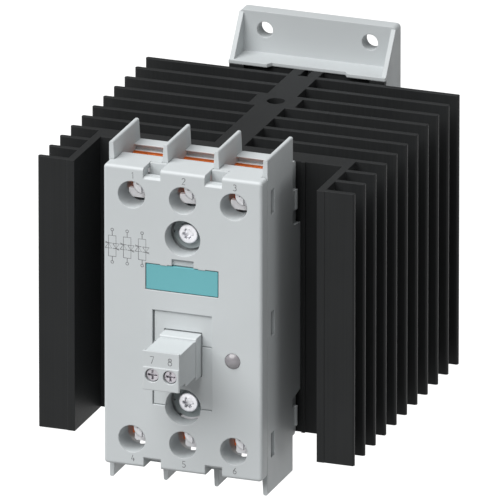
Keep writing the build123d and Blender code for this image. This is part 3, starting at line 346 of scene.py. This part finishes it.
def print_marks(name, strokes, y, body, material, width=PRINT_STROKE):
    """Printed strokes as one thin piece on a front face at that y."""
    curve = bpy.data.curves.new(name, "CURVE")
    curve.dimensions = "3D"
    curve.bevel_depth = width / 2
    curve.bevel_resolution = 1
    curve.use_fill_caps = True
    for stroke in strokes:
        spline = curve.splines.new("POLY")
        spline.points.add(len(stroke) - 1)
        for point, (x, z) in zip(spline.points, stroke):
            point.co = (x, 0.0, z, 1.0)
    source = bpy.data.objects.new(name + "_source", curve)
    bpy.context.scene.collection.objects.link(source)
    mesh = bpy.data.meshes.new_from_object(source.evaluated_get(bpy.context.evaluated_depsgraph_get()))
    bpy.data.objects.remove(source)
    for vertex in mesh.vertices:
        vertex.co.y = y + vertex.co.y * (PRINT_HEIGHT / (width / 2))
    piece = bpy.data.objects.new(name, mesh)
    mesh.materials.clear()
    mesh.materials.append(material)
    bpy.context.scene.collection.objects.link(piece)
    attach(piece, body)


def circle(x, z, radius):
    """Points once round a circle."""
    return arc(x, z, radius, 0, 360, 24)


def thyristor_symbol(x, low, high):
    """Two thyristors back to back in a box, with a terminal circle at each end."""
    middle = (low + high) / 2
    radius = SYMBOL_CIRCLE_RADIUS
    box_low, box_high = low + SYMBOL_BOX_INSET[0], high - SYMBOL_BOX_INSET[1]
    half = SYMBOL_BOX_HALF
    strokes = [circle(x, low, radius), circle(x, high, radius)]
    strokes.append([(x, low + radius), (x, box_low)])
    strokes.append([(x, high - radius), (x, box_high)])
    strokes.append([(x - half, box_low), (x + half, box_low), (x + half, box_high), (x - half, box_high),
                    (x - half, box_low)])
    wing = SYMBOL_WING
    tall = SYMBOL_TRIANGLE_HEIGHT
    for side, up in ((-1, 1), (1, -1)):
        centre = x + side * half
        base, point = middle - up * tall / 2, middle + up * tall / 2
        strokes.append([(centre - wing, base), (centre + wing, base), (centre, point), (centre - wing, base)])
        strokes.append([(centre - wing, point), (centre + wing, point)])
        strokes.append([(centre, point), (centre + side * wing, point + up * SYMBOL_GATE_RISE)])
    return strokes


def print_relay(ink):
    """Plain numbers, 1 to 3 above, 4 to 6 below, 7 and 8 on the plug, and three circuit symbols."""
    terminals = []
    for row, (end, z) in enumerate(TERMINAL_ROWS):
        for phase in (1, 2, 3):
            low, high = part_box(f"{end}_screw_{phase}")
            x = (low.x + high.x) / 2 + TERMINAL_MARK_SHIFT
            terminals += digit(3 * row + phase, x, z, TERMINAL_MARK_SIZE)
    print_marks("terminal_marks", terminals, FRONT_Y, "root", ink)
    symbols = []
    for x in SYMBOL_X:
        symbols += thyristor_symbol(x, *SYMBOL_Z)
    print_marks("circuit_symbols", symbols, FRONT_Y, "root", ink, SYMBOL_STROKE)
    plug_low, plug_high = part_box("plug_body")
    face_y = plug_low.y + PLUG_MARK_STEP
    marks = []
    for screw, number in ((1, 7), (2, 8)):
        low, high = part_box(f"plug_screw_{screw}")
        marks += digit(number, (low.x + high.x) / 2, plug_high.z - PLUG_MARK_DROP, PLUG_MARK_SIZE)
    print_marks("plug_marks", marks, face_y, "control_plug", ink)


# Stage -------------------------------------------------------------------------------------------
def make_floor():
    """A pale floor, far enough below the relay to cast no shadow near it."""
    bpy.ops.mesh.primitive_plane_add(size=FLOOR_SIZE, location=(0, 0, cad_box[0].z - FLOOR_DROP))
    floor = bpy.context.active_object
    floor.name = "floor"
    shader = Shader("pale_floor")
    cloud = shader.noise(1.5, 2.0)
    shader.colour(shader.mix(cloud, (0.86, 0.86, 0.86), (0.89, 0.89, 0.89)))
    shader.set(Roughness=0.8, Specular_IOR_Level=0.1)
    floor.data.materials.append(shader.material)
    # the floor throws no light up onto the relay
    floor.visible_diffuse = False


def make_light():
    """White surroundings, a key and a fill sun, and a third sun that lights only the terminal metal."""
    world = bpy.data.worlds.new("studio")
    world.use_nodes = True
    background = world.node_tree.nodes["Background"]
    background.inputs["Color"].default_value = (1.0, 1.0, 1.0, 1.0)
    background.inputs["Strength"].default_value = WORLD_STRENGTH
    bpy.context.scene.world = world
    add_sun("key", (-0.30, -0.53, 0.79), 4.25, 60)
    add_sun("fill", (0.985, -0.14, 0.10), 0.50, 32)
    # light that reaches the metal deep inside the driver holes
    terminal_light = add_sun("terminal_light", (0.32, -0.88, 0.34), 3.0, 10)
    inside = bpy.data.collections.new("terminal_metal")
    for name, node in NODES.items():
        if name.startswith(("line_", "load_")):
            inside.objects.link(node)
    terminal_light.light_linking.receiver_collection = inside


def add_sun(name, direction, strength, angle):
    """A soft distant light that shines from that direction."""
    light = bpy.data.lights.new(name, "SUN")
    light.energy = strength
    light.angle = math.radians(angle)
    lamp = bpy.data.objects.new(name, light)
    lamp.rotation_mode = "QUATERNION"
    lamp.rotation_quaternion = Vector(direction).to_track_quat("Z", "Y")
    bpy.context.scene.collection.objects.link(lamp)
    return lamp


def make_camera():
    """A camera to the right of the relay and above it, aimed so that the whole of it is in view."""
    back = Vector((math.sin(AZIMUTH) * math.cos(ELEVATION), -math.cos(AZIMUTH) * math.cos(ELEVATION),
                   math.sin(ELEVATION)))
    right = Vector((math.cos(AZIMUTH), math.sin(AZIMUTH), 0))
    up = back.cross(right)
    aim = Vector((0, FRONT_Y, 0)) + right * AIM_RIGHT + up * AIM_UP
    data = bpy.data.cameras.new("camera")
    data.lens = LENS
    data.sensor_width = SENSOR
    distance = VIEW_WIDTH * LENS / SENSOR
    data.clip_start = CLIP_START
    data.clip_end = distance * 3
    camera = bpy.data.objects.new("camera", data)
    camera.location = aim + back * distance
    camera.rotation_mode = "QUATERNION"
    camera.rotation_quaternion = back.to_track_quat("Z", "Y")
    bpy.context.scene.collection.objects.link(camera)
    bpy.context.scene.camera = camera


bpy.context.scene.view_settings.view_transform = "Standard"
materials = make_materials()
dress_nodes(materials)
print_relay(printed("grey_ink", INK_COLOUR))
make_floor()
make_light()
make_camera()
